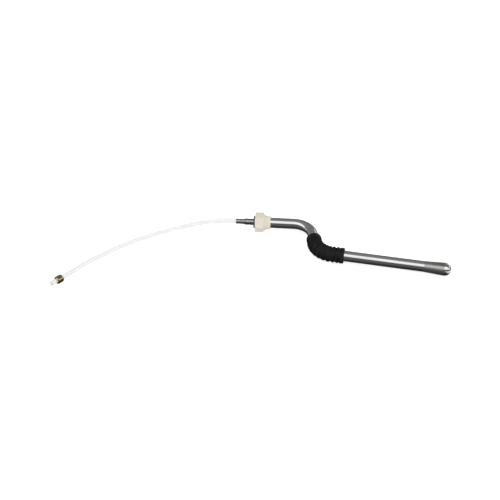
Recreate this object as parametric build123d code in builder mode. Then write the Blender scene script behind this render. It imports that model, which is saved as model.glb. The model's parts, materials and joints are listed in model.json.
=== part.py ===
"""Steam wand of a coffee machine, with its hose and union nut, lying on a table.

Millimetres, +Z up. +X runs from the hose end to the nozzle, and the origin is under the
middle of the wand, on the table. The wand's tube is bent in one plane, which leans a
little because nut, grip and nozzle, all of different sizes, rest on the same table.
"""

from build123d import *
import math
import os

# ---- Driving dimensions ---------------------------------------------------------------

# Tube. Stations along it are measured from the seal face at its hose end.
tube_diameter = 10.0
tube_wall = 1.0
bend_radius = 18.9
upper_length = 38.9        # from the seal face to the first bend
upper_turn = 81.5          # degrees, towards the front
middle_length = 15.5
lower_turn = 73.5          # degrees, back again
lower_length = 84.5        # from the second bend to the nozzle's joint

# Nozzle
nozzle_flare = 1.0         # how far its side grows past the tube's
nozzle_flare_length = 17.0
nozzle_straight_length = 1.6
wrench_depth = 1.0         # of each flat, below the nozzle's full width
wrench_start = 7.3
wrench_roll = 25.0         # degrees, from upwards towards the front
orifice_diameter = 1.5
orifice_countersink = 2.2
steam_chamber_depth = 18.0
seal_thickness = 1.2
o_ring_land = 0.225        # steel on either side of the ring's groove
bush_neck_wall = 1.5       # of the threaded neck, round the hose
bush_body_length = 11.0
thread_length = 7.0
thread_pitch = 0.75
thread_depth = 0.3

# Grip: walls over the tube, and lengths from its two ends
grip_gap = 7.6             # between the first bend's end and the grip
grip_length = 43.2
grip_core_wall = 1.75
grip_rib_height = 0.75
grip_top_wall = 2.25
grip_top_length = 7.1
grip_end_wall = 2.35
grip_end_length = 4.0
rib_count = 8
rib_width = 2.2
rib_edge_radius = 0.6
grip_end_edge_radius = 0.8

# Seat at the hose end: gasket, flange and nipple
gasket_lip = 0.7           # how far the gasket stands out past the tube
gasket_thickness = 1.2
flange_lip = 1.2
flange_thickness = 1.2
nipple_wall = 1.0          # round the hose
nipple_length = 9.0
nipple_neck_wall = 1.4     # inside gasket and flange
nipple_head_length = 5.0
nipple_nose_chamfer = 0.4
ferrule_wall = 0.5
ferrule_length = 8.1
crimp_count = 2
crimp_width = 1.2
crimp_depth = 0.2

# Union nut and the slip washer inside it
nut_mouth = 1.5            # station of its open end
nut_wall = 2.0             # from the thread to a flat
nut_hex_length = 8.5
nut_cone_length = 2.7
nut_collar_length = 3.9
nut_collar_wall = 1.25
nut_thread_length = 6.5
nut_thread_pitch = 1.0
nut_thread_depth = 0.35
nut_corner_radius = 0.5
nut_corner_chamfer = 0.6
nut_collar_radius = 0.8    # of the collar's rounded edge and of the hollow behind it
washer_thickness = 1.0

# Hose
hose_diameter = 4.0
hose_wall = 1.0
insert_wall = 0.35
crimp_insert_inset = 1.0
crimp_insert_length = 9.0
spacer_length = 5.0
olive_wall = 1.5
olive_length = 6.2
olive_band_length = 4.6
olive_end_wall = 1.1
olive_edge_radius = 0.25
hose_stub_length = 5.3
end_insert_length = 13.0
end_insert_rim = 0.5

# The free hose's route from the point where it leaves the ferrule: x and y in mm, then
# the share of its fall to the height at which the olive lies on the table
hose_route = [
    (0, 0, 0),
    (-15, 0, -0.04),
    (-33.7, -5.2, -0.01),
    (-52.8, -13.3, 0.07),
    (-71, -22.4, 0.18),
    (-88.7, -32.6, 0.315),
    (-104.8, -44.2, 0.465),
    (-119.5, -57.4, 0.63),
    (-133.9, -71.2, 0.78),
    (-146.1, -87, 0.92),
    (-158.5, -101.6, 1),
]
hose_end_dip = 0.14        # of the hose's end below the olive's middle
arc_share = 0.45           # of the shorter run, taken by each arc

# Clearances, all radial or along the axis
grip_clearance = 0.03
bush_clearance = 0.03
thread_clearance = 0.05
hose_clearance = 0.04
olive_clearance = 0.04
insert_clearance = 0.03
nipple_clearance = 0.05
flange_clearance = 0.3
nut_clearance = 0.15
washer_clearance = 0.10
washer_gap = 0.03
touching = 0.01            # two sizes nearer than this count as the same

# ---- The wand's own plane -------------------------------------------------------------

tube_radius = tube_diameter / 2
tube_bore_radius = tube_radius - tube_wall
hose_radius = hose_diameter / 2
hose_hole_radius = hose_radius + hose_clearance
hose_bore_radius = hose_radius - hose_wall
insert_radius = hose_bore_radius - insert_clearance
insert_bore_radius = hose_bore_radius - insert_wall
nozzle_radius = tube_radius + nozzle_flare
grip_core_radius = tube_radius + grip_core_wall
grip_rib_radius = grip_core_radius + grip_rib_height
grip_end_radius = tube_radius + grip_end_wall
grip_top_radius = tube_radius + grip_top_wall
flange_radius = tube_radius + flange_lip
nipple_radius = hose_radius + nipple_wall
neck_radius = hose_radius + nipple_neck_wall
neck_hole_radius = neck_radius + nipple_clearance
nut_thread_radius = flange_radius + flange_clearance
nut_flat_radius = nut_thread_radius + nut_wall
flange_front = gasket_thickness
tube_start = flange_front + flange_thickness


def flat_walk(distance):
    """Point (u, v) of the centreline in its own plane, this far along it."""
    legs = [
        (upper_length, 0),
        (math.radians(upper_turn) * bend_radius, -1),
        (middle_length, 0),
        (math.radians(lower_turn) * bend_radius, 1),
        (math.inf, 0),
    ]
    u, v, heading = 0.0, 0.0, 0.0
    for length, side in legs:
        step = min(distance, length)
        turned = heading + side * step / bend_radius
        if side:
            u += side * bend_radius * (math.sin(turned) - math.sin(heading))
            v -= side * bend_radius * (math.cos(turned) - math.cos(heading))
        else:
            u += step * math.cos(heading)
            v += step * math.sin(heading)
        heading = turned
        distance -= step
        if distance <= 0:
            break
    return u, v


first_bend_end = upper_length + math.radians(upper_turn) * bend_radius
second_bend_start = first_bend_end + middle_length
second_bend_end = second_bend_start + math.radians(lower_turn) * bend_radius
grip_start = first_bend_end + grip_gap
grip_end = grip_start + grip_length
rib_zone_start = grip_start + grip_top_length
rib_zone_length = grip_length - grip_top_length - grip_end_length
rib_pitch = rib_zone_length / rib_count
rib_lead = (rib_pitch - rib_width) / 2
last_rib = grip_end - grip_end_length - rib_pitch / 2
nozzle_start = second_bend_end + lower_length
dome_start = nozzle_start + nozzle_flare_length + nozzle_straight_length
dome_end = dome_start + nozzle_radius

# Three rests: the nut's front edge, the grip's last rib and the nozzle's full width
nut_rest_u = nut_mouth + nut_hex_length
grip_rest_u, grip_rest_v = flat_walk(last_rib)
nozzle_rest_u, nozzle_rest_v = flat_walk(dome_start)
grip_fall = grip_rib_radius - nut_flat_radius
nozzle_fall = nozzle_radius - nut_flat_radius
grip_rest_u -= nut_rest_u
nozzle_run_u = nozzle_rest_u - nut_rest_u
determinant = grip_rest_u * nozzle_rest_v - nozzle_run_u * grip_rest_v
slope_x = (grip_fall * nozzle_rest_v - nozzle_fall * grip_rest_v) / determinant
slope_y = (grip_rest_u * nozzle_fall - nozzle_run_u * grip_fall) / determinant
seat_height = nut_flat_radius - slope_x * nut_rest_u

# The wand's box on the table: ferrule to dome, and nut corner to nozzle side
ferrule_end = -nipple_length - ferrule_length
nut_half_width = 2 * nut_flat_radius / math.sqrt(3)
box_middle_u = (ferrule_end + nozzle_rest_u + nozzle_radius) / 2
box_middle_v = (nut_half_width + nozzle_rest_v - nozzle_radius) / 2

wand_plane = Plane(
    origin=(-box_middle_u, -box_middle_v, seat_height),
    x_dir=(1, 0, slope_x),
    z_dir=(-slope_x, -slope_y, 1),
)

# ---- Centreline and the planes that stand on it ---------------------------------------

with BuildLine(wand_plane) as centreline:
    upper_run = Line((ferrule_end, 0), (upper_length, 0))
    upper_bend = JernArc(upper_run @ 1, upper_run % 1, bend_radius, -upper_turn)
    middle_run = Line(upper_bend @ 1, upper_bend @ 1 + middle_length * (upper_bend % 1))
    lower_bend = JernArc(middle_run @ 1, middle_run % 1, bend_radius, lower_turn)
    lower_run = Line(
        lower_bend @ 1,
        lower_bend @ 1 + (dome_end - second_bend_end) * (lower_bend % 1),
    )

centreline_wire = centreline.wire()
centreline_length = centreline_wire.length


def share(station):
    """Station along the tube as a share of the whole centreline."""
    return (station - ferrule_end) / centreline_length


def stretch(start, end):
    """The piece of centreline between two stations."""
    return centreline_wire.trim(share(start), share(end))


def point_at(station):
    return centreline_wire @ share(station)


def direction_at(station):
    return centreline_wire % share(station)


def across(station):
    """Plane square to the tube at a station."""
    return Plane(point_at(station), x_dir=wand_plane.z_dir, z_dir=direction_at(station))


def along(station):
    """Plane through the tube's axis: its x runs along the tube from the station."""
    return Plane(point_at(station), x_dir=direction_at(station), z_dir=wand_plane.z_dir)


def axis_at(station):
    return Axis(point_at(station), direction_at(station))


def finish(part, name):
    """Name a finished piece and write it."""
    part.label = name
    export_step(part, f"parts/{name}.step")


os.makedirs("parts", exist_ok=True)

# ---- Tube -----------------------------------------------------------------------------

tube_path = stretch(tube_start, nozzle_start)
with BuildPart() as wand_tube:
    with BuildSketch(across(tube_start)):
        Circle(tube_radius)
        Circle(tube_bore_radius, mode=Mode.SUBTRACT)
    sweep(path=tube_path)
finish(wand_tube.part, "wand_tube")

# ---- Grip: a ribbed rubber sleeve round the second bend -------------------------------


def is_grip_end(face):
    """True for the sleeve's two end faces."""
    ends = (point_at(grip_start), point_at(grip_end))
    return any((face.center() - end).length < touching for end in ends)


def is_rib_rim(edge):
    """True for the circles on the ribs' outside."""
    return abs(edge.radius - grip_rib_radius) < touching


with BuildPart() as grip_sleeve:
    with BuildSketch(across(grip_start)):
        Circle(grip_core_radius)
    sweep(path=stretch(grip_start, grip_end))
    with BuildSketch(across(grip_start)):
        Circle(grip_top_radius)
    sweep(path=stretch(grip_start, grip_start + grip_top_length))
    with BuildSketch(across(grip_end - grip_end_length)):
        Circle(grip_end_radius)
    sweep(path=stretch(grip_end - grip_end_length, grip_end))
    for rib in range(rib_count):
        rib_start = rib_zone_start + rib_lead + rib * rib_pitch
        with BuildSketch(across(rib_start)):
            Circle(grip_rib_radius)
        sweep(path=stretch(rib_start, rib_start + rib_width))
    rims = grip_sleeve.edges().filter_by(GeomType.CIRCLE)
    fillet(rims.filter_by(is_rib_rim), rib_edge_radius)
    end_rims = grip_sleeve.faces().filter_by(is_grip_end).edges()
    fillet(end_rims, grip_end_edge_radius)
    with BuildSketch(across(grip_start)):
        Circle(tube_radius + grip_clearance)
    sweep(path=stretch(grip_start, grip_end), mode=Mode.SUBTRACT)
finish(grip_sleeve.part, "grip_sleeve")

# ---- Nozzle and the bush that it screws on --------------------------------------------

bush_radius = tube_bore_radius - bush_clearance
thread_radius = hose_radius + bush_neck_wall
socket_radius = thread_radius + thread_clearance
o_ring_radius = (socket_radius + tube_radius) / 2
o_ring_section = tube_radius - socket_radius - 2 * o_ring_land
socket_depth = thread_length + seal_thickness
nozzle_length = dome_end - nozzle_start
wrench_size = 2 * (nozzle_radius - wrench_depth)

with BuildPart() as nozzle:
    with BuildSketch(along(nozzle_start)):
        with BuildLine():
            Polyline((0, socket_radius), (0, tube_radius))
            Line((0, tube_radius), (nozzle_flare_length, nozzle_radius))
            Line((nozzle_flare_length, nozzle_radius), (nozzle_length - nozzle_radius, nozzle_radius))
            CenterArc((nozzle_length - nozzle_radius, 0), nozzle_radius, 0, 90)
            Polyline((nozzle_length, 0), (steam_chamber_depth, 0))
            Polyline(
                (steam_chamber_depth, 0),
                (steam_chamber_depth, hose_radius),
                (socket_depth, hose_radius),
                (socket_depth, socket_radius),
                (0, socket_radius),
            )
        make_face()
    revolve(axis=axis_at(nozzle_start))
    with BuildSketch(along(nozzle_start)):
        with Locations((0, o_ring_radius)):
            Rectangle(o_ring_section, o_ring_section)
    revolve(axis=axis_at(nozzle_start), mode=Mode.SUBTRACT)
    with BuildSketch(across(dome_end)):
        Circle(orifice_diameter / 2)
    extrude(amount=-nozzle_length + steam_chamber_depth, mode=Mode.SUBTRACT)
    with BuildSketch(across(dome_end)):
        Circle(orifice_countersink / 2)
    extrude(amount=-(orifice_countersink - orifice_diameter) / 2, taper=45, mode=Mode.SUBTRACT)
    with BuildSketch(across(nozzle_start + wrench_start).rotated((0, 0, wrench_roll))):
        with Locations((wrench_size, 0), (-wrench_size, 0)):
            Rectangle(wrench_size, 4 * nozzle_radius)
    extrude(amount=dome_start - nozzle_start - wrench_start, mode=Mode.SUBTRACT)
finish(nozzle.part, "nozzle")

with BuildPart() as nozzle_bush:
    with BuildSketch(across(nozzle_start - bush_body_length)):
        Circle(bush_radius)
    extrude(amount=bush_body_length)
    with BuildSketch(across(nozzle_start)):
        Circle(thread_radius)
    extrude(amount=thread_length)
    with BuildSketch(along(nozzle_start)):
        groove_lead = 1.5 * thread_pitch
        groove_count = int((thread_length - 2 * thread_pitch) / thread_pitch)
        for groove in range(groove_count):
            with Locations((groove_lead + groove * thread_pitch, thread_radius)):
                Rectangle(thread_pitch / 2, 2 * thread_depth)
    revolve(axis=axis_at(nozzle_start), mode=Mode.SUBTRACT)
    with BuildSketch(across(nozzle_start - bush_body_length)):
        Circle(hose_hole_radius)
    extrude(amount=bush_body_length + thread_length, mode=Mode.SUBTRACT)
finish(nozzle_bush.part, "nozzle_bush")

with BuildPart() as nozzle_o_ring:
    with BuildSketch(along(nozzle_start)):
        with Locations((o_ring_section / 4, o_ring_radius)):
            Rectangle(o_ring_section / 2, o_ring_section - 2 * thread_clearance)
    revolve(axis=axis_at(nozzle_start))
finish(nozzle_o_ring.part, "nozzle_o_ring")

with BuildPart() as hose_seal:
    with BuildSketch(across(nozzle_start + thread_length)):
        Circle(thread_radius)
        Circle(hose_bore_radius, mode=Mode.SUBTRACT)
    extrude(amount=seal_thickness)
finish(hose_seal.part, "hose_seal")

# ---- Hose inside the wand, and what holds it there ------------------------------------

with BuildPart() as inner_hose:
    with BuildSketch(across(ferrule_end)):
        Circle(hose_radius)
        Circle(hose_bore_radius, mode=Mode.SUBTRACT)
    sweep(path=stretch(ferrule_end, nozzle_start + thread_length))
finish(inner_hose.part, "inner_hose")

middle_station = (first_bend_end + second_bend_start) / 2
lower_station = (second_bend_end + nozzle_start) / 2
with BuildPart() as hose_spacers:
    for station in (middle_station, lower_station):
        with BuildSketch(across(station - spacer_length / 2)):
            Circle(bush_radius)
            Circle(hose_hole_radius, mode=Mode.SUBTRACT)
        extrude(amount=spacer_length)
finish(hose_spacers.part, "hose_spacers")

# ---- Seat at the hose end -------------------------------------------------------------

with BuildPart() as seat_flange:
    with BuildSketch(across(flange_front)):
        Circle(flange_radius)
        Circle(neck_hole_radius, mode=Mode.SUBTRACT)
    extrude(amount=flange_thickness)
finish(seat_flange.part, "seat_flange")

with BuildPart() as seat_gasket:
    with BuildSketch(across(0)):
        Circle(tube_radius + gasket_lip)
        Circle(neck_hole_radius, mode=Mode.SUBTRACT)
    extrude(amount=gasket_thickness)
finish(seat_gasket.part, "seat_gasket")

with BuildPart() as hose_nipple:
    with BuildSketch(across(-nipple_length)):
        Circle(nipple_radius)
    extrude(amount=nipple_length)
    chamfer(hose_nipple.faces().sort_by(Axis.X)[0].edges(), nipple_nose_chamfer)
    with BuildSketch(across(0)):
        Circle(neck_radius)
    extrude(amount=tube_start)
    with BuildSketch(across(tube_start)):
        Circle(bush_radius)
    extrude(amount=nipple_head_length)
    with BuildSketch(across(-nipple_length)):
        Circle(hose_hole_radius)
    extrude(amount=nipple_length + tube_start + nipple_head_length, mode=Mode.SUBTRACT)
finish(hose_nipple.part, "hose_nipple")

crimp_pitch = ferrule_length / (crimp_count + 1)
ferrule_radius = hose_radius + ferrule_wall
with BuildPart() as crimp_ferrule:
    with BuildSketch(along(ferrule_end)):
        with Locations((ferrule_length / 2, (ferrule_radius + hose_hole_radius) / 2)):
            Rectangle(ferrule_length, ferrule_radius - hose_hole_radius)
        for crimp in range(crimp_count):
            with Locations(((crimp + 1) * crimp_pitch, ferrule_radius)):
                Rectangle(crimp_width, 2 * crimp_depth, mode=Mode.SUBTRACT)
    revolve(axis=axis_at(ferrule_end))
finish(crimp_ferrule.part, "crimp_ferrule")

with BuildPart() as crimp_insert:
    with BuildSketch(across(ferrule_end + crimp_insert_inset)):
        Circle(insert_radius)
        Circle(insert_bore_radius, mode=Mode.SUBTRACT)
    extrude(amount=crimp_insert_length)
finish(crimp_insert.part, "crimp_insert")

# ---- Union nut and slip washer: both ride along the tube ------------------------------

nut_thread_end = nut_mouth + nut_thread_length
with BuildPart() as slip_washer:
    with BuildSketch(across(nut_thread_end - washer_gap - washer_thickness)):
        Circle(flange_radius)
        Circle(tube_radius + washer_clearance, mode=Mode.SUBTRACT)
    extrude(amount=washer_thickness)
finish(slip_washer.part, "slip_washer")

nut_length = nut_hex_length + nut_cone_length + nut_collar_length
collar_radius = tube_radius + nut_clearance + nut_collar_wall


def is_on_collar(corner):
    """True for the corners of the nut's profile at the collar's own radius."""
    return abs(corner.Y - collar_radius) < touching


with BuildPart() as union_nut:
    with BuildSketch(across(nut_mouth)) as nut_hexagon:
        RegularPolygon(nut_flat_radius, 6, major_radius=False, rotation=30)
        fillet(nut_hexagon.vertices(), nut_corner_radius)
    extrude(amount=nut_hex_length)
    with BuildSketch(along(nut_mouth)):
        Polygon(
            (0, 0),
            (0, nut_half_width - nut_corner_chamfer),
            (nut_corner_chamfer / 2, nut_half_width),
            (nut_hex_length - nut_corner_chamfer / 2, nut_half_width),
            (nut_hex_length, nut_half_width - nut_corner_chamfer),
            (nut_hex_length, 0),
            align=None,
        )
    revolve(axis=axis_at(nut_mouth), mode=Mode.INTERSECT)
    with BuildSketch(along(nut_mouth)) as nut_back:
        Polygon(
            (nut_hex_length, 0),
            (nut_hex_length, nut_flat_radius),
            (nut_hex_length + nut_cone_length, collar_radius),
            (nut_length, collar_radius),
            (nut_length, 0),
            align=None,
        )
        fillet(nut_back.vertices().filter_by(is_on_collar), nut_collar_radius)
    revolve(axis=axis_at(nut_mouth))
    with BuildSketch(across(nut_mouth)):
        Circle(nut_thread_radius)
    extrude(amount=nut_thread_length, mode=Mode.SUBTRACT)
    with BuildSketch(along(nut_mouth)):
        turns = int((nut_thread_length - 2 * nut_thread_pitch) / nut_thread_pitch)
        for turn in range(turns):
            with Locations(((turn + 1) * nut_thread_pitch, nut_thread_radius)):
                Rectangle(nut_thread_pitch / 2, 2 * nut_thread_depth)
    revolve(axis=axis_at(nut_mouth), mode=Mode.SUBTRACT)
    with BuildSketch(across(nut_mouth)):
        Circle(tube_radius + nut_clearance)
    extrude(amount=nut_length, mode=Mode.SUBTRACT)
finish(union_nut.part, "union_nut")

# ---- Free hose and the olive on its end -----------------------------------------------

hose_exit = point_at(ferrule_end)
olive_radius = hose_radius + olive_wall
hose_fall = hose_exit.Z - olive_radius + hose_end_dip
hose_points = [hose_exit + Vector(x, y, -fall * hose_fall) for x, y, fall in hose_route]
hose_runs = [after - before for before, after in zip(hose_points, hose_points[1:])]
hose_radii = []
for before, after in zip(hose_runs, hose_runs[1:]):
    half_turn = math.radians(before.get_angle(after) / 2)
    shorter = min(before.length, after.length)
    hose_radii.append(arc_share * shorter / math.tan(half_turn))

with BuildPart() as steam_hose:
    with BuildLine() as hose_path:
        FilletPolyline(*hose_points, radius=hose_radii)
    with BuildSketch(Plane(hose_points[0], z_dir=hose_runs[0])):
        Circle(hose_radius)
        Circle(hose_bore_radius, mode=Mode.SUBTRACT)
    sweep(path=hose_path.wire())
finish(steam_hose.part, "steam_hose")

hose_section = math.pi * (hose_radius ** 2 - hose_bore_radius ** 2)
hose_length = hose_path.wire().length
print("hose length", round(hose_length, 1))
print("hose arc radii", [round(radius) for radius in hose_radii])
print("hose volume share", round(steam_hose.part.volume / (hose_section * hose_length), 4))

hose_end = hose_points[-1]
hose_end_direction = hose_runs[-1].normalized()
end_plane = Plane(hose_end, z_dir=hose_end_direction)
olive_plane = Plane(
    end_plane.offset(-hose_stub_length).origin,
    x_dir=-hose_end_direction,
    z_dir=end_plane.x_dir,
)
olive_end_radius = hose_radius + olive_end_wall
olive_hole_radius = hose_radius + olive_clearance
olive_cone_length = (olive_length - olive_band_length) / 2

with BuildPart() as olive:
    with BuildSketch(olive_plane) as olive_profile:
        Polygon(
            (0, olive_hole_radius),
            (0, olive_end_radius),
            (olive_cone_length, olive_radius),
            (olive_cone_length + olive_band_length, olive_radius),
            (olive_length, olive_end_radius),
            (olive_length, olive_hole_radius),
            align=None,
        )
        fillet(olive_profile.vertices().sort_by(Axis.Y)[2:], olive_edge_radius)
    revolve(axis=Axis(olive_plane.origin, olive_plane.x_dir))
finish(olive.part, "olive")

with BuildPart() as hose_end_insert:
    with BuildSketch(end_plane):
        Circle(hose_radius)
    extrude(amount=end_insert_rim)
    with BuildSketch(end_plane):
        Circle(insert_radius)
    extrude(amount=-end_insert_length)
    with BuildSketch(end_plane.offset(end_insert_rim)):
        Circle(insert_bore_radius)
    extrude(amount=-end_insert_length - end_insert_rim, mode=Mode.SUBTRACT)
finish(hose_end_insert.part, "hose_end_insert")
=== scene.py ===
"""Steam wand of a coffee machine on a white table: materials, free hose, light and camera.

Metres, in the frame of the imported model: +Z up, +X from the hose end to the nozzle.
"""
import json
import math
import bpy
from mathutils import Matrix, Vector


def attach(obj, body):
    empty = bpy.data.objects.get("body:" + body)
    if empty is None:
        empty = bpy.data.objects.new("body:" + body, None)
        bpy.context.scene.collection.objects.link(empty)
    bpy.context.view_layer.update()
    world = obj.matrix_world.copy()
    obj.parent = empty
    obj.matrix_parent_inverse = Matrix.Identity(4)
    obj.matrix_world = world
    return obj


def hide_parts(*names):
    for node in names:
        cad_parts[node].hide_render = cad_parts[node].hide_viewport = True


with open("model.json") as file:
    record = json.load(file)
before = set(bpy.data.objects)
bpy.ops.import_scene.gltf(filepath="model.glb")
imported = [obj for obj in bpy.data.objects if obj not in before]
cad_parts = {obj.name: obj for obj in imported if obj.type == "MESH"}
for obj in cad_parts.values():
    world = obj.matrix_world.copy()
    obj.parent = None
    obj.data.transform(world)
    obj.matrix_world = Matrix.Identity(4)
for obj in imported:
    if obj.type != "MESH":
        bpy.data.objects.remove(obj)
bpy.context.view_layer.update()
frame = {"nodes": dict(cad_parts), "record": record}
MM = 0.001

# ---- Places read off the frame --------------------------------------------------------

mounts = {mount["name"]: mount for mount in frame["record"]["mounts"]}
nut_axis = -Vector(mounts["nipple_nose"]["axis"])
nut_centre = Vector(mounts["nipple_nose"]["pos_m"])
olive_axis = Vector(mounts["hose_olive"]["axis"])
DOME_CENTRE = Vector((0.09455, -0.03276, 0.006))
NOZZLE_AXIS = Vector((0.99015, -0.13917, -0.0153))
DOME_START = (-1.2 * MM, 0.2 * MM)        # along the nozzle's axis, where satin turns to polish
WRENCH_START = (-11.4 * MM, -11.3 * MM)
WRENCH_NORMAL = Vector((-0.0451, -0.4204, 0.9062))    # of the upper flat

# ---- Small node helpers ---------------------------------------------------------------

class Shader:
    """A Principled material and the few node chains that the finishes here share."""

    def __init__(self, name, color, roughness, metallic=0.0):
        self.material = bpy.data.materials.new(name)
        self.material.use_nodes = True
        self.tree = self.material.node_tree
        self.bsdf = self.tree.nodes["Principled BSDF"]
        self.bsdf.inputs["Base Color"].default_value = (*color, 1)
        self.bsdf.inputs["Roughness"].default_value = roughness
        self.bsdf.inputs["Metallic"].default_value = metallic
        self.place = self.node("ShaderNodeTexCoord").outputs["Object"]
        self.height = None

    def node(self, kind, **settings):
        made = self.tree.nodes.new(kind)
        for key, value in settings.items():
            setattr(made, key, value)
        return made

    def link(self, source, target):
        self.tree.links.new(source, target)

    def noise(self, scale, detail=3.0, stretch=(1, 1, 1)):
        """Noise of about 1/scale metres, longer along the axes with a small stretch."""
        mapping = self.node("ShaderNodeMapping")
        mapping.inputs["Scale"].default_value = stretch
        self.link(self.place, mapping.inputs["Vector"])
        made = self.node("ShaderNodeTexNoise")
        made.inputs["Scale"].default_value = scale
        made.inputs["Detail"].default_value = detail
        self.link(mapping.outputs["Vector"], made.inputs["Vector"])
        return made.outputs["Fac"]

    def along(self, origin, axis):
        """Distance from origin along axis, in metres."""
        offset = self.node("ShaderNodeVectorMath", operation="SUBTRACT")
        self.link(self.place, offset.inputs[0])
        offset.inputs[1].default_value = origin
        dot = self.node("ShaderNodeVectorMath", operation="DOT_PRODUCT")
        self.link(offset.outputs["Vector"], dot.inputs[0])
        dot.inputs[1].default_value = axis
        return dot.outputs["Value"]

    def facing(self, direction, limit):
        """1 where the surface faces along direction or straight away from it."""
        dot = self.node("ShaderNodeVectorMath", operation="DOT_PRODUCT")
        self.link(self.node("ShaderNodeNewGeometry").outputs["Normal"], dot.inputs[0])
        dot.inputs[1].default_value = direction
        size = self.math("ABSOLUTE", dot.outputs["Value"])
        return self.math("GREATER_THAN", size, limit)

    def math(self, operation, first, second=None):
        """A Math node; second is a number or a socket."""
        made = self.node("ShaderNodeMath", operation=operation)
        self.link(first, made.inputs[0])
        if isinstance(second, (int, float)):
            made.inputs[1].default_value = second
        elif second is not None:
            self.link(second, made.inputs[1])
        return made.outputs["Value"]

    def span(self, source, low, high, to_low, to_high):
        """source mapped from low..high to to_low..to_high, and held at the ends."""
        made = self.node("ShaderNodeMapRange")
        self.link(source, made.inputs["Value"])
        for key, value in (("From Min", low), ("From Max", high), ("To Min", to_low), ("To Max", to_high)):
            made.inputs[key].default_value = value
        return made.outputs["Result"]

    def rings(self, origin, axis, pitch, wobble=0.5):
        """Turning marks: fine uneven rings round an axis."""
        made = self.node("ShaderNodeTexNoise", noise_dimensions="1D")
        self.link(self.math("MULTIPLY", self.along(origin, axis), 1 / pitch), made.inputs["W"])
        made.inputs["Scale"].default_value = 1.0
        made.inputs["Detail"].default_value = 4.0
        made.inputs["Roughness"].default_value = wobble
        return made.outputs["Fac"]

    def mix(self, factor, first, second):
        """Colour between first and second by factor; each is a colour or a socket."""
        made = self.node("ShaderNodeMix", data_type="RGBA")
        self.link(factor, made.inputs["Factor"])
        for index, value in ((6, first), (7, second)):
            if isinstance(value, tuple):
                made.inputs[index].default_value = (*value, 1)
            else:
                self.link(value, made.inputs[index])
        return made.outputs[2]

    def color(self, socket):
        self.link(socket, self.bsdf.inputs["Base Color"])

    def roughness(self, socket):
        self.link(socket, self.bsdf.inputs["Roughness"])

    def bump(self, socket, depth, strength=1.0):
        """Adds relief, depth metres high, on top of any that is there already."""
        made = self.node("ShaderNodeBump")
        made.inputs["Strength"].default_value = strength
        made.inputs["Distance"].default_value = depth
        self.link(socket, made.inputs["Height"])
        if self.height is not None:
            self.link(self.height, made.inputs["Normal"])
        self.height = made.outputs["Normal"]
        self.link(self.height, self.bsdf.inputs["Normal"])


# ---- Materials ------------------------------------------------------------------------

def polished_steel():
    """Mirror finish with faint smears and hairlines from wiping."""
    s = Shader("polished_steel", (0.80, 0.80, 0.81), 0.05, metallic=1.0)
    smears = s.noise(90, 5, (0.4, 1, 1))
    s.roughness(s.span(smears, 0.35, 0.75, 0.035, 0.10))
    s.color(s.mix(s.span(smears, 0.3, 0.8, 0, 1), (0.82, 0.82, 0.83), (0.74, 0.74, 0.75)))
    s.bump(s.noise(2500, 2, (0.06, 1, 1)), 0.002 * MM)
    return s.material


def nozzle_steel():
    """Satin turned flare with ground wrench flats, running out into a polished dome."""
    s = Shader("nozzle_steel", (0.68, 0.67, 0.65), 0.3, metallic=1.0)
    distance = s.along(DOME_CENTRE, NOZZLE_AXIS)
    grain = s.noise(700, 4)
    dome = s.span(distance, *DOME_START, 0, 1)
    flats = s.math("MULTIPLY", s.facing(WRENCH_NORMAL, 0.997), s.span(distance, *WRENCH_START, 0, 1))
    polish = s.node("ShaderNodeMix", data_type="FLOAT")
    s.link(s.math("MAXIMUM", dome, flats), polish.inputs["Factor"])
    s.link(s.span(grain, 0.3, 0.7, 0.34, 0.40), polish.inputs[2])
    polish.inputs[3].default_value = 0.05
    s.roughness(polish.outputs[0])
    satin = s.mix(grain, (0.47, 0.465, 0.45), (0.55, 0.545, 0.53))
    s.color(s.mix(dome, satin, (0.82, 0.82, 0.82)))
    s.bump(s.rings(DOME_CENTRE, NOZZLE_AXIS, 0.12 * MM), 0.001 * MM)
    return s.material


def turned_steel():
    """Lathe-turned fittings."""
    s = Shader("turned_steel", (0.5, 0.5, 0.5), 0.16, metallic=1.0)
    rings = s.rings(nut_centre, nut_axis, 0.15 * MM)
    s.roughness(s.span(rings, 0.3, 0.7, 0.10, 0.24))
    s.color(s.mix(s.span(s.noise(700, 4), 0.35, 0.65, 0, 1), (0.30, 0.30, 0.30), (0.60, 0.60, 0.60)))
    s.bump(rings, 0.004 * MM)
    return s.material


def black_rubber():
    """Moulded silicone rubber, dull, with a little dust in its pores."""
    s = Shader("black_rubber", (0.01, 0.01, 0.01), 0.55)
    dust = s.noise(350, 6)
    s.color(s.mix(s.span(dust, 0.45, 0.8, 0, 1), (0.006, 0.006, 0.0065), (0.016, 0.0155, 0.015)))
    s.roughness(s.span(dust, 0.3, 0.8, 0.50, 0.72))
    s.bsdf.inputs["Specular IOR Level"].default_value = 0.2
    s.bump(s.noise(3500, 3), 0.02 * MM)
    return s.material


def cream_plastic():
    """Injection-moulded nylon: waxy, with faint flow marks."""
    s = Shader("cream_plastic", (0.65, 0.61, 0.51), 0.38)
    flow = s.noise(120, 4)
    s.color(s.mix(s.span(flow, 0.3, 0.7, 0, 1), (0.68, 0.63, 0.54), (0.63, 0.585, 0.49)))
    s.roughness(s.span(s.noise(900, 4), 0.3, 0.7, 0.32, 0.46))
    s.bsdf.inputs["Subsurface Weight"].default_value = 0.25
    s.bsdf.inputs["Subsurface Radius"].default_value = (1.0, 0.8, 0.5)
    s.bsdf.inputs["Subsurface Scale"].default_value = 1.5 * MM
    s.bump(s.noise(1800, 3), 0.01 * MM)
    return s.material


def dark_gasket():
    s = Shader("dark_gasket", (0.055, 0.048, 0.036), 0.6)
    fibre = s.noise(1400, 5)
    s.color(s.mix(fibre, (0.035, 0.03, 0.022), (0.085, 0.075, 0.055)))
    s.roughness(s.span(fibre, 0.3, 0.7, 0.5, 0.72))
    s.bump(fibre, 0.02 * MM)
    return s.material


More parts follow.
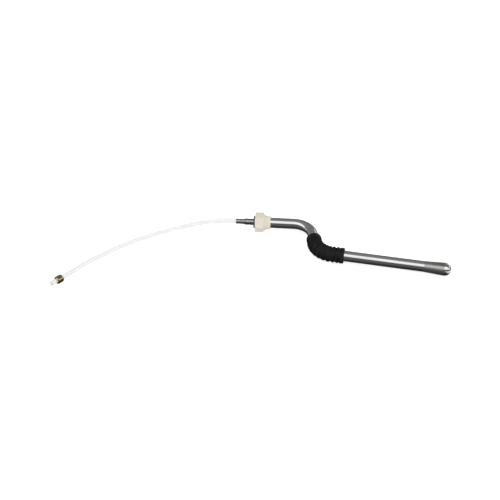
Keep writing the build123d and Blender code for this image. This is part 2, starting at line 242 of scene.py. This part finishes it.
def ptfe():
    """Milky, slightly see-through hose, with faint die lines."""
    s = Shader("ptfe", (0.90, 0.885, 0.87), 0.34)
    cloud = s.noise(160, 4)
    s.color(s.mix(s.span(cloud, 0.3, 0.7, 0, 1), (0.97, 0.94, 0.935), (0.93, 0.90, 0.895)))
    s.roughness(s.span(cloud, 0.3, 0.7, 0.28, 0.40))
    s.bsdf.inputs["IOR"].default_value = 1.36
    s.bsdf.inputs["Transmission Weight"].default_value = 0.25
    s.bsdf.inputs["Subsurface Weight"].default_value = 0.3
    s.bsdf.inputs["Subsurface Radius"].default_value = (1.0, 0.9, 0.85)
    s.bsdf.inputs["Subsurface Scale"].default_value = 2 * MM
    s.bump(s.noise(2200, 2), 0.006 * MM)
    return s.material


def brass():
    """Bright turned brass with a little tarnish."""
    s = Shader("brass", (0.80, 0.57, 0.22), 0.16, metallic=1.0)
    tarnish = s.noise(600, 5)
    s.color(s.mix(s.span(tarnish, 0.4, 0.8, 0, 1), (0.66, 0.52, 0.28), (0.40, 0.28, 0.11)))
    rings = s.rings(Vector(mounts["hose_olive"]["pos_m"]), olive_axis, 0.1 * MM)
    s.roughness(s.span(rings, 0.3, 0.7, 0.10, 0.24))
    s.bump(rings, 0.004 * MM)
    return s.material


finishes = {
    "polished_steel": polished_steel(),
    "nozzle_steel": nozzle_steel(),
    "turned_steel": turned_steel(),
    "black_rubber": black_rubber(),
    "cream_plastic": cream_plastic(),
    "dark_gasket": dark_gasket(),
    "ptfe": ptfe(),
    "brass": brass(),
}
for subpart in frame["record"]["subparts"]:
    node = frame["nodes"][subpart["node"]]
    node.data.materials.clear()
    node.data.materials.append(finishes[subpart["material_slot"]])

# ---- Free hose ------------------------------------------------------------------------

HOSE_DIAMETER = 4 * MM
HOSE_EXIT = Vector((-0.100569, 0.028946, 0.008928))
HOSE_ROUTE = [
    (0, 0, 0),
    (-0.015, 0, 0.00022),
    (-0.0337, -0.0052, 0.00006),
    (-0.0528, -0.0133, -0.00039),
    (-0.071, -0.0224, -0.001),
    (-0.0887, -0.0326, -0.00175),
    (-0.1048, -0.0442, -0.00259),
    (-0.1195, -0.0574, -0.00351),
    (-0.1339, -0.0712, -0.00434),
    (-0.1461, -0.087, -0.00512),
    (-0.1585, -0.1016, -0.00557),
]


def free_hose():
    """The hose from the ferrule to its end beyond the olive."""
    curve = bpy.data.curves.new("free_hose", "CURVE")
    curve.dimensions = "3D"
    spline = curve.splines.new("NURBS")
    spline.points.add(len(HOSE_ROUTE) - 1)
    for point, step in zip(spline.points, HOSE_ROUTE):
        point.co = (*(HOSE_EXIT + Vector(step)), 1)
    spline.order_u = 3
    spline.use_endpoint_u = True
    spline.resolution_u = 24
    curve.bevel_depth = HOSE_DIAMETER / 2
    curve.bevel_resolution = 12
    curve.use_fill_caps = True
    curve.materials.append(finishes["ptfe"])
    hose = bpy.data.objects.new("free_hose", curve)
    bpy.context.scene.collection.objects.link(hose)
    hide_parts("steam_hose")
    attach(hose, "wand")
    return hose


free_hose()

# ---- Camera ---------------------------------------------------------------------------

CAMERA_PLACE = Vector((-0.04247, -0.68111, 0.4915))
CAMERA_AZIMUTH = math.radians(3.595)
CAMERA_ELEVATION = math.radians(36)
CAMERA_LENS = 63.36      # mm, for a sensor of the width below
CAMERA_SENSOR = 36

camera_data = bpy.data.cameras.new("camera")
camera_data.lens = CAMERA_LENS
camera_data.sensor_width = CAMERA_SENSOR
camera_data.clip_start = 0.01
camera = bpy.data.objects.new("camera", camera_data)
camera.location = CAMERA_PLACE
camera.rotation_euler = (math.pi / 2 - CAMERA_ELEVATION, 0, CAMERA_AZIMUTH)
bpy.context.scene.collection.objects.link(camera)
bpy.context.scene.camera = camera

# ---- Table and light ------------------------------------------------------------------

TABLE_SIZE = 8.0
TABLE_DROP = 0.2 * MM    # keeps the table clear of the pieces that rest on it
TABLE_GLOW = 0.78        # emission that keeps it white to the eye
PAINTED_GLOW_LEVEL = 0.85         # painted glow of the table's patches, seen only in the reflections on the nozzle and the bend


def white_table():
    """White to the eye; to glossy rays it shows painted shade under the wand and painted glowing patches
    beside the bend and past the nozzle.
    """
    mesh = bpy.data.meshes.new("table")
    half = TABLE_SIZE / 2
    corners = [(-half, -half, 0), (half, -half, 0), (half, half, 0), (-half, half, 0)]
    mesh.from_pydata(corners, [], [(0, 1, 2, 3)])
    table = bpy.data.objects.new("table", mesh)
    bpy.context.scene.collection.objects.link(table)
    s = Shader("table_white", (0.5, 0.5, 0.5), 1.0)
    s.bsdf.inputs["Specular IOR Level"].default_value = 0
    s.bsdf.inputs["Emission Color"].default_value = (1, 1, 1, 1)
    s.bsdf.inputs["Emission Strength"].default_value = TABLE_GLOW
    path = s.node("ShaderNodeLightPath")
    # Painted shade: glossy rays that meet the table close by, under the wand, see it darker.
    painted_shade = s.span(path.outputs["Ray Length"], 0.006, 0.03, 0.03, 0.12)
    right = s.along((0, 0, 0), (1, 0, 0))
    back = s.along((0, 0, 0), (0, 1, 0))
    # Painted glow: patches of table past the nozzle and behind the bend that shine only for glossy rays,
    # though no lamp is there.
    past_tip = s.span(right, 0.100, 0.108, 0, 1)
    past_nozzle = s.math("MULTIPLY", past_tip, s.span(right, 0.125, 0.145, 1, 0))
    beyond_nozzle = s.math("MULTIPLY", past_nozzle, s.span(back, -0.03, -0.015, 1, 0))
    beside_bend = s.math("MULTIPLY", s.span(right, 0.0, 0.04, 0, 1), s.span(right, 0.06, 0.08, 1, 0))
    behind_bend = s.math("MULTIPLY", beside_bend, s.span(back, 0.03, 0.06, 0, 1))
    # lit holds the painted glow patches.
    lit = s.math("MAXIMUM", beyond_nozzle, behind_bend)
    # What glossy rays see instead of the table: a painted reflection, glowing by the painted shade and the
    # painted glow patches.
    painted_reflection = s.node("ShaderNodeEmission")
    s.link(s.math("MAXIMUM", painted_shade, s.math("MULTIPLY", lit, PAINTED_GLOW_LEVEL)), painted_reflection.inputs["Strength"])
    choose = s.node("ShaderNodeMixShader")
    s.link(path.outputs["Is Glossy Ray"], choose.inputs["Fac"])
    s.link(s.bsdf.outputs[0], choose.inputs[1])
    s.link(painted_reflection.outputs[0], choose.inputs[2])
    s.link(choose.outputs[0], s.tree.nodes["Material Output"].inputs["Surface"])
    mesh.materials.append(s.material)
    table.location.z = -TABLE_DROP


# Brightness of the studio by angle, from the front horizon (0) over the top to the back (1)
STUDIO_BANDS = [
    (0.0, 0.10), (0.11, 0.10), (0.21, 1.1), (0.41, 1.15), (0.46, 0.30),
    (0.56, 0.24), (0.70, 0.20), (0.85, 0.19), (0.95, 0.11), (1.0, 0.09),
]
WALL_LEVEL = 0.9        # low wall at the back right
SHADE_LEVEL = 0.04      # the dark above that wall
BACKDROP_LEVEL = 1.0    # what the camera itself sees


def studio_world():
    """A long bright panel above the front, a grey ceiling and a low lit wall at the back right."""
    world = bpy.data.worlds.new("studio")
    world.use_nodes = True
    nodes, links = world.node_tree.nodes, world.node_tree.links

    def math_node(operation, first, second):
        made = nodes.new("ShaderNodeMath")
        made.operation = operation
        for socket, value in zip(made.inputs, (first, second)):
            if isinstance(value, (int, float)):
                socket.default_value = value
            else:
                links.new(value, socket)
        return made.outputs[0]

    def rise(source, low, high):
        made = nodes.new("ShaderNodeMapRange")
        made.interpolation_type = "SMOOTHSTEP"
        links.new(source, made.inputs["Value"])
        made.inputs["From Min"].default_value = low
        made.inputs["From Max"].default_value = high
        return made.outputs["Result"]

    def blend(factor, first, level):
        """first, going over to an even grey of that level as factor rises."""
        made = nodes.new("ShaderNodeMix")
        made.data_type = "RGBA"
        links.new(factor, made.inputs["Factor"])
        links.new(first, made.inputs[6])
        made.inputs[7].default_value = (level, level, level, 1)
        return made.outputs[2]

    place = nodes.new("ShaderNodeTexCoord")
    split = nodes.new("ShaderNodeSeparateXYZ")
    links.new(place.outputs["Generated"], split.inputs[0])
    forward = math_node("MULTIPLY", split.outputs["Y"], -1.0)
    angle = math_node("ARCTAN2", split.outputs["Z"], forward)
    ramp = nodes.new("ShaderNodeValToRGB")
    stops = ramp.color_ramp.elements
    while len(stops) < len(STUDIO_BANDS):
        stops.new(0.5)
    for stop, (position, level) in zip(stops, STUDIO_BANDS):
        stop.position = position
        stop.color = (level, level, level, 1)
    links.new(math_node("DIVIDE", angle, math.pi), ramp.inputs["Fac"])
    x, y, z = (split.outputs[name] for name in "XYZ")
    corner = math_node("MULTIPLY", rise(x, 0.15, 0.6), rise(y, 0.0, 0.5))
    wall = math_node("MULTIPLY", corner, math_node("SUBTRACT", 1.0, rise(z, 0.35, 0.6)))
    with_wall = blend(wall, ramp.outputs["Color"], WALL_LEVEL)
    beside = math_node("MULTIPLY", rise(x, 0.25, 0.5), rise(y, -0.3, 0.1))
    above_wall = math_node("MULTIPLY", math_node("MULTIPLY", beside, rise(z, 0.35, 0.5)), 0.8)
    reflected = blend(above_wall, with_wall, SHADE_LEVEL)
    seen = nodes.new("ShaderNodeLightPath").outputs["Is Camera Ray"]
    links.new(blend(seen, reflected, BACKDROP_LEVEL), nodes["Background"].inputs["Color"])
    bpy.context.scene.world = world


def softbox(name, place, size, watts):
    """A rectangular lamp that faces the object; the studio's panel stands for it in reflections."""
    data = bpy.data.lights.new(name, "AREA")
    data.shape = "RECTANGLE"
    data.size, data.size_y = size
    data.energy = watts
    lamp = bpy.data.objects.new(name, data)
    lamp.location = place
    lamp.rotation_euler = (-Vector(place)).to_track_quat("-Z", "Y").to_euler()
    lamp.visible_glossy = False
    bpy.context.scene.collection.objects.link(lamp)


white_table()
studio_world()
softbox("front_softbox", (0.0, -0.62, 0.80), (1.5, 0.85), 5.3)
softbox("top_softbox", (0.1, 0.3, 1.0), (1.2, 0.8), 5)
bpy.context.scene.view_settings.view_transform = "Standard"
